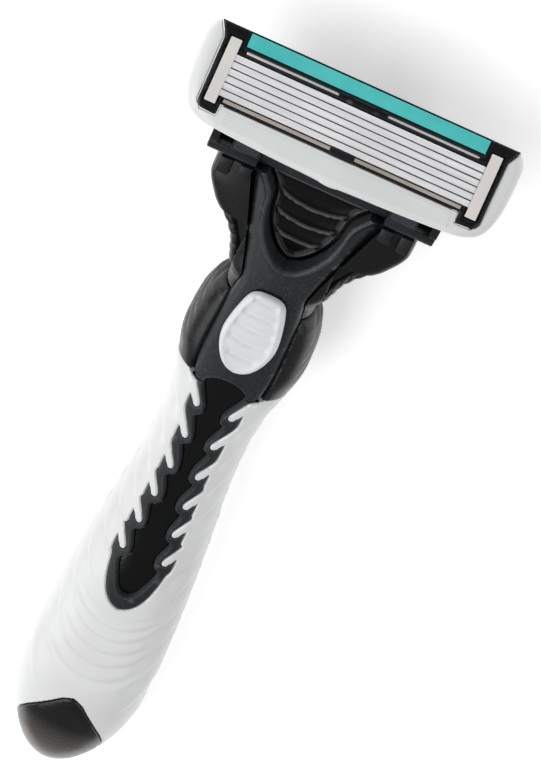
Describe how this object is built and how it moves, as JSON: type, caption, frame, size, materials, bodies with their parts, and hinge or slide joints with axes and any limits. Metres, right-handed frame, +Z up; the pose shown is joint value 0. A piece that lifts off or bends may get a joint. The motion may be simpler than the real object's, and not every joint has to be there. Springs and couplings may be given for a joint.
{
  "type": "cartridge razor",
  "caption": "Hand razor with a pivoting multi-blade cartridge, Y-shaped neck, push-button cartridge release and a contoured handle with a barbed rubber grip strip.",
  "frame": {"origin": "on the flat ribs of the rear grip pad, where the razor rests, midway across the handle", "axes": "+Z up out of the shaving side, +Y from the head towards the handle's tail, +X along the cartridge"},
  "size_m": [0.0424, 0.1392, 0.0216],
  "materials": {
    "white_abs": "satin-gloss white ABS moulding",
    "black_abs": "glossy black ABS moulding",
    "charcoal_abs": "finely spark-eroded charcoal moulding",
    "black_rubber": "satin black thermoplastic elastomer",
    "gloss_black": "polished black",
    "cap_rubber": "semi-gloss dark grey",
    "button_white": "satin off-white moulding",
    "spring_steel": "drawn stainless wire",
    "guard_rubber": "soft white elastomer fins",
    "teal_strip": "matte water-soluble lubricating strip",
    "bar_aluminium": "matte aluminium",
    "blade_steel": "ground and coated stainless blade steel",
    "clip_aluminium": "matte rolled aluminium"
  },
  "bodies": {
    "handle": {"handle_core": "black_abs", "front_shell": "white_abs", "rear_shell": "white_abs", "rear_grip": "black_rubber", "grip_inlay": "black_rubber", "grip_insert": "gloss_black", "end_cap": "cap_rubber", "neck_cover": "charcoal_abs", "throat_pad": "black_rubber", "neck_grip_right": "black_rubber", "neck_grip_left": "black_rubber", "shoulder_grip_right": "black_rubber", "shoulder_grip_left": "black_rubber", "button_spring": "spring_steel", "plunger_spring": "spring_steel"},
    "button": {"release_button": "button_white", "ejector_slide": "black_abs"},
    "plunger": {"plunger": "black_abs"},
    "docking": {"docking_yoke": "black_abs", "pivot_pin_right": "spring_steel", "pivot_pin_left": "spring_steel"},
    "cartridge": {"cartridge_frame": "white_abs", "cartridge_housing": "black_abs", "guard_fins": "guard_rubber", "lubricating_strip": "teal_strip", "blade_stop_bar": "bar_aluminium", "blade_1": "blade_steel", "blade_2": "blade_steel", "blade_3": "blade_steel", "blade_4": "blade_steel", "blade_5": "blade_steel", "blade_6": "blade_steel", "clip_right": "clip_aluminium", "clip_left": "clip_aluminium"}
  },
  "joints": [
    {"name": "button_slide", "type": "slide", "parent": "handle", "child": "button", "axis": [0, -1, 0], "range_m": [0, 0.003], "stiffness_N_per_m": 600, "springref_m": -0.002, "deforming": ["button_spring"]},
    {"name": "head_release", "type": "slide", "parent": "handle", "child": "docking", "axis": [0, -1, 0], "range_m": [0, 0.012]},
    {"name": "head_pivot", "type": "hinge", "parent": "docking", "child": "cartridge", "pos_m": [0, -0.05658, 0.01343], "axis": [1, 0, 0], "range_deg": [0, 40], "stiffness_Nm_per_rad": 0.012, "springref_deg": -34.38},
    {"name": "plunger_slide", "type": "slide", "parent": "handle", "child": "plunger", "axis": [0, 1, 0], "range_m": [0, 0.007], "deforming": ["plunger_spring"]}
  ],
  "couplings": [
    {"joint": "plunger_slide", "follows": "head_pivot", "m_per_rad": 0.01}
  ]
}
